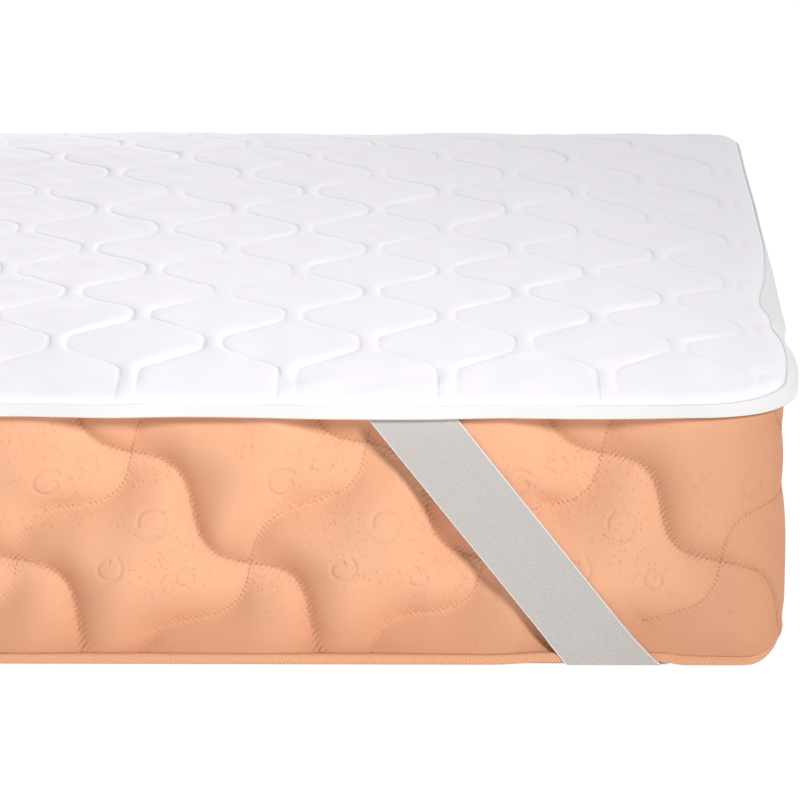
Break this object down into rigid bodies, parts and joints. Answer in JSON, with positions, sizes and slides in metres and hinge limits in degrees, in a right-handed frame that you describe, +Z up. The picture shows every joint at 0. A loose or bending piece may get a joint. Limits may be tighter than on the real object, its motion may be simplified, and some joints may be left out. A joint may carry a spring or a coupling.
{
  "type": "mattress topper on a mattress",
  "caption": "Quilted white mattress topper with a bound edge, held on a single mattress by slanted elastic corner straps.",
  "frame": {"origin": "middle of the underside of the mattress, on the floor", "axes": "+X along the long side of the mattress, +Z up, the long front face looks to -Y"},
  "size_m": [2.0447, 0.918, 0.2173],
  "materials": {
    "topper_pad": "matte quilted fabric",
    "edge_binding": "smooth woven tape",
    "elastic_strap": "ribbed elastic",
    "mattress_body": "soft woven ticking with a low sheen",
    "mattress_tape": "ribbed tape"
  },
  "bodies": {
    "root": {"topper_pad": "topper_pad", "edge_binding": "edge_binding", "corner_strap_front_right": "elastic_strap", "corner_strap_front_left": "elastic_strap", "corner_strap_back_right": "elastic_strap", "corner_strap_back_left": "elastic_strap", "mattress_body": "mattress_body", "mattress_tape": "mattress_tape"}
  },
  "joints": []
}
